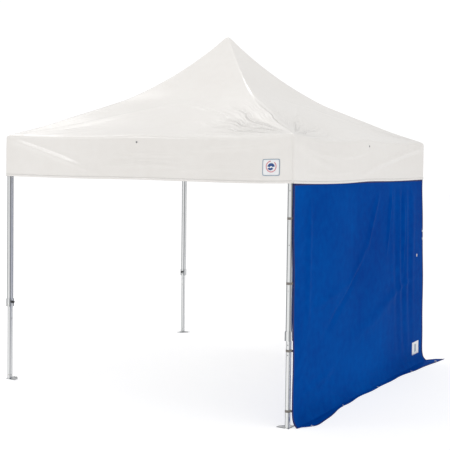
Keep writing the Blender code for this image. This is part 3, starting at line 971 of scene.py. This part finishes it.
def wall_sheet(name, low, high, start, stop, out, count):
    """A piece of the wall's surface between two places across and two places down."""
    across, drop = np.meshgrid(
        np.linspace(low, high, count[0]), np.linspace(start, stop, count[1]), indexing="ij"
    )
    from_top = np.clip(drop, 0, 1) * WALL_HEIGHT + np.clip(drop - 1, 0, 1) * WALL_LYING
    chart = np.stack((across * WALL_LENGTH, from_top), -1)
    return grid_piece(name, wall_place(across, drop, out), chart)


wall = wear(wall_sheet("sidewall_cloth", 0.0, 1.0, 0.0, 2.0, 0.0, (240, 190)), WALL_CLOTH)
gather(wall, LINING)
thicken(wall, WALL_CLOTH_THICKNESS, 0.0)
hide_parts("sidewall")

# The first of these is a darker navy band along the wall's top edge. Only a narrow strip of it shows, as a
# dark line just below the valance's hem.
for name, low, high, start, stop, count in (
    ("sidewall_top_binding", 0.0, 1.0, 0.0, 0.045, (160, 5)),
    ("sidewall_left_binding", 0.0, 0.0085, 0.0, 1.98, (4, 170)),
    ("sidewall_right_binding", 0.9915, 1.0, 0.0, 1.98, (4, 170)),
    ("sidewall_hem_binding", 0.0, 1.0, 1.86, 2.0, (160, 4)),
):
    tape = wear(wall_sheet(name, low, high, start, stop, 0.0009, count), BINDING)
    gather(tape, LINING)
    thicken(tape, 0.0007, 0.0)


def ring_profile(inner, outer, high):
    """A grommet's rolled rim, as (radius, height), closed on itself."""
    angle = np.linspace(0, 2 * np.pi, 11)
    middle, half = (inner + outer) / 2, (outer - inner) / 2
    return [(middle + half * math.cos(a), high * (0.45 + 0.55 * math.sin(a))) for a in angle]


def grommet(name, across, drop, out, axis, size=1.0):
    """A rolled metal eyelet at a place on the wall."""
    spot = wall_place(np.array([across]), np.array([drop]), out)[0]
    ring = turned(name, ring_profile(0.006 * size, 0.0135 * size, 0.0030), spot, axis, 28)
    gather(wear(ring, NICKEL), LINING)
    return ring


for number, share in enumerate((0.038, 0.295, 0.555, 0.800, 0.962)):
    grommet(f"hem_grommet_{number + 1}", share, 1.80, 0.0012, (0, 0, 1))
grommet("wall_grommet", 0.938, 0.425, 0.001, (1, 0, 0), 1.15)
for number, drop in enumerate((0.305, 0.345)):
    grommet(f"edge_eyelet_{number + 1}", 0.994, drop, 0.001, (1, 0, 0), 0.9)

tag = wear(wall_sheet("wall_label", 0.905, 0.962, 0.8655, 0.932, 0.0016, (8, 8)), LABEL)
tag_print = wear(wall_sheet("wall_label_print", 0.926, 0.940, 0.8780, 0.918, 0.0026, (5, 8)), LABEL_EDGE)
for piece in (tag, tag_print):
    gather(piece, LINING)
    thicken(piece, 0.0006, 0.0)


# ---- straps ----


def strap(name, height, half, body):
    """A strap from the wall's edge round a leg: a flat band whose path is a rounded square, with a short
    tongue from it to the wall's inner face."""
    angle = np.linspace(0, 2 * np.pi, 49)[:-1]
    square = np.maximum(np.abs(np.cos(angle)), np.abs(np.sin(angle))) ** -0.82
    reach = (half + 0.0016) * square
    x = CENTRE_X + POST + reach * np.cos(angle)
    y = CENTRE_Y - POST + reach * np.sin(angle)
    band = np.array(((0.0, -0.0095), (0.0012, -0.0095), (0.0012, 0.0095), (0.0, 0.0095)))
    path = [
        ((px, py, height + 0.002 * math.sin(a)), (math.cos(a), math.sin(a), 0), (0, 0, 1))
        for px, py, a in zip(x, y, angle)
    ]
    loop = tube_piece(name, band, path, close_path=True)
    start = Vector((CENTRE_X + POST + half + 0.001, CENTRE_Y - POST + half * 0.3, height))
    end = Vector((CENTRE_X + WALL_X - 0.0012, CENTRE_Y - POST + half * 0.3 + 0.035, height - 0.004))
    tail = []
    for share in np.linspace(0, 1, 9):
        spot = start.lerp(end, float(share)) - Vector((0, 0, 0.003 * math.sin(math.pi * share)))
        tail.append((tuple(spot), (1, 0, 0), (0, 0, 1)))
    tongue = tube_piece(name + "_tail", band, tail)
    both = joined(name, [loop, tongue])
    wear(both, STRAP)
    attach(both, body)


strap("wall_strap_1", 1.672, 0.020, "outer_leg_front_right")
strap("wall_strap_2", 1.158, 0.020, "outer_leg_front_right")
strap("wall_strap_3", 0.622, 0.016, "outer_leg_front_right")
strap("wall_strap_4", 0.139, 0.016, "inner_leg_front_right")


# ---- rivets ----

# Radius and height, from the rim's foot to the crown.
DOME = (
    (0.0, -0.0005), (0.0075, -0.0005), (0.0075, 0.0008), (0.0062, 0.0024), (0.0036, 0.0036), (0.0, 0.0040),
)


def middle_of(node):
    """The middle of a CAD node's box."""
    low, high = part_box(node)
    return (Vector(low) + Vector(high)) / 2


for name in sorted(frame["nodes"]):
    if not name.startswith("bar_"):
        continue
    ends = name[4:].split("_to_")
    mate = "bar_" + ends[1] + "_to_" + ends[0]
    here, there = middle_of(name), middle_of(mate)
    outward = here - there
    outward.z = 0
    outward = outward.normalized()
    rivet = wear(turned("rivet_" + name, DOME, here + outward * 0.00635, outward, 18), NICKEL)
    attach(rivet, name)

for number, corner in enumerate(CORNERS):
    for body, half, height in (("outer_leg_", 0.020, 0.7200), ("inner_leg_", 0.016, 0.040)):
        for turn in (0, 1):
            axis = side_axis((number + turn) % 4)
            post = side_place(number, -POST, POST, height)
            size = half + (0.005 if body == "outer_leg_" else 0.0)
            spot = Vector(post) + Vector(axis) * size
            bolt = wear(turned(f"bolt_{body}{corner}_{turn + 1}", DOME, spot, axis, 18), NICKEL)
            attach(bolt, body + corner)


# ---- the frame's own pieces ----


def finish_of(node):
    """The material of a CAD node, by what it is."""
    if node.startswith("bar_"):
        return BAR_METAL
    if "pin" in node or node == "peak_cap":
        return BLACK_PLASTIC
    if node.startswith(("outer_leg_", "inner_leg_")):
        return LEG_METALS[CORNERS.index(node[10:])]
    if node.startswith("peak_"):
        return POLE_METAL
    return GREY_PLASTIC


for name, piece in frame["nodes"].items():
    if name in ("canopy_top", "sidewall"):
        continue
    material = finish_of(name)
    if not piece.material_slots:
        piece.data.materials.append(material)
    for place in piece.material_slots:
        place.material = material


# ---- floor, light and camera ----


def make_floor():
    """A wide pale floor, flat, just under the feet."""
    made, tree, shader, place = blank("Pale floor")
    uneven = use(tree, BLOTCH, (("Vector", place),), Slow=0.4, Fine=6.0)
    grey = tint(tree, uneven, (0.43, 0.43, 0.43), (0.45, 0.45, 0.45))
    tree.links.new(grey, shader.inputs["Base Color"])
    shader.inputs["Roughness"].default_value = 0.9
    shader.inputs["Emission Color"].default_value = (1.0, 1.0, 1.0, 1.0)
    shader.inputs["Emission Strength"].default_value = 0.65
    u, v = np.meshgrid(np.linspace(-60, 60, 9), np.linspace(-60, 60, 9), indexing="ij")
    floor = grid_piece("floor", np.stack((u, v, np.full(u.shape, -0.0008)), -1))
    wear(floor, made)
    floor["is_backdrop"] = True


def make_light():
    """An even white surround, and large soft lamps above and in front."""
    world = bpy.data.worlds.new("Studio")
    world.use_nodes = True
    tree = world.node_tree
    back = tree.nodes["Background"]
    plain = tree.nodes.new("ShaderNodeBackground")
    for shade, power in ((back, 0.76), (plain, 1.05)):
        shade.inputs[0].default_value = (1.0, 1.0, 1.0, 1.0)
        shade.inputs[1].default_value = power
    ray = tree.nodes.new("ShaderNodeLightPath")
    mix = tree.nodes.new("ShaderNodeMixShader")
    tree.links.new(ray.outputs["Is Camera Ray"], mix.inputs[0])
    tree.links.new(back.outputs[0], mix.inputs[1])
    tree.links.new(plain.outputs[0], mix.inputs[2])
    tree.links.new(mix.outputs[0], tree.nodes["World Output"].inputs[0])
    bpy.context.scene.world = world
    for name, place, size, power, aim in (
        ("Key", (-5.5, -7.5, 7.5), 2.0, 110.0, (0.0, 0.0, 1.9)),
        ("Side", (4.8, -1.5, 9.5), 3.0, 120.0, (0.8, 0.0, 2.5)),
        ("Back", (-2.6, 3.4, 10.0), 1.0, 66.0, (0.6, -0.8, 2.5)),
        ("Top left", (-7.0, 1.0, 8.0), 4.0, 78.0, (-0.8, -0.5, 2.4)),
    ):
        lamp = bpy.data.lights.new(name, "AREA")
        lamp.size = size
        lamp.energy = power
        body = bpy.data.objects.new(name, lamp)
        body.location = place
        body.rotation_euler = (Vector(aim) - Vector(place)).to_track_quat("-Z", "Y").to_euler()
        bpy.context.scene.collection.objects.link(body)


def make_camera():
    """A long lens at head height, to the right of the front."""
    lens = bpy.data.cameras.new("Camera")
    lens.sensor_width = 36.0
    lens.lens = 74.26
    lens.shift_y = -0.0556
    yaw, pitch, roll = -0.5418, -0.0421, 0.0128
    look = Vector((math.sin(yaw) * math.cos(pitch), math.cos(yaw) * math.cos(pitch), math.sin(pitch)))
    flat = Vector((math.cos(yaw), -math.sin(yaw), 0.0))
    over = flat.cross(look)
    right = flat * math.cos(roll) + over * math.sin(roll)
    up = over * math.cos(roll) - flat * math.sin(roll)
    camera = bpy.data.objects.new("Camera", lens)
    turn = Matrix((right, up, -look)).transposed().to_4x4()
    camera.matrix_world = Matrix.Translation((4.7158, -8.1461, 2.1169)) @ turn
    bpy.context.scene.collection.objects.link(camera)
    bpy.context.scene.camera = camera


make_floor()
make_light()
make_camera()
bpy.context.scene.view_settings.view_transform = "Standard"

low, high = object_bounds()
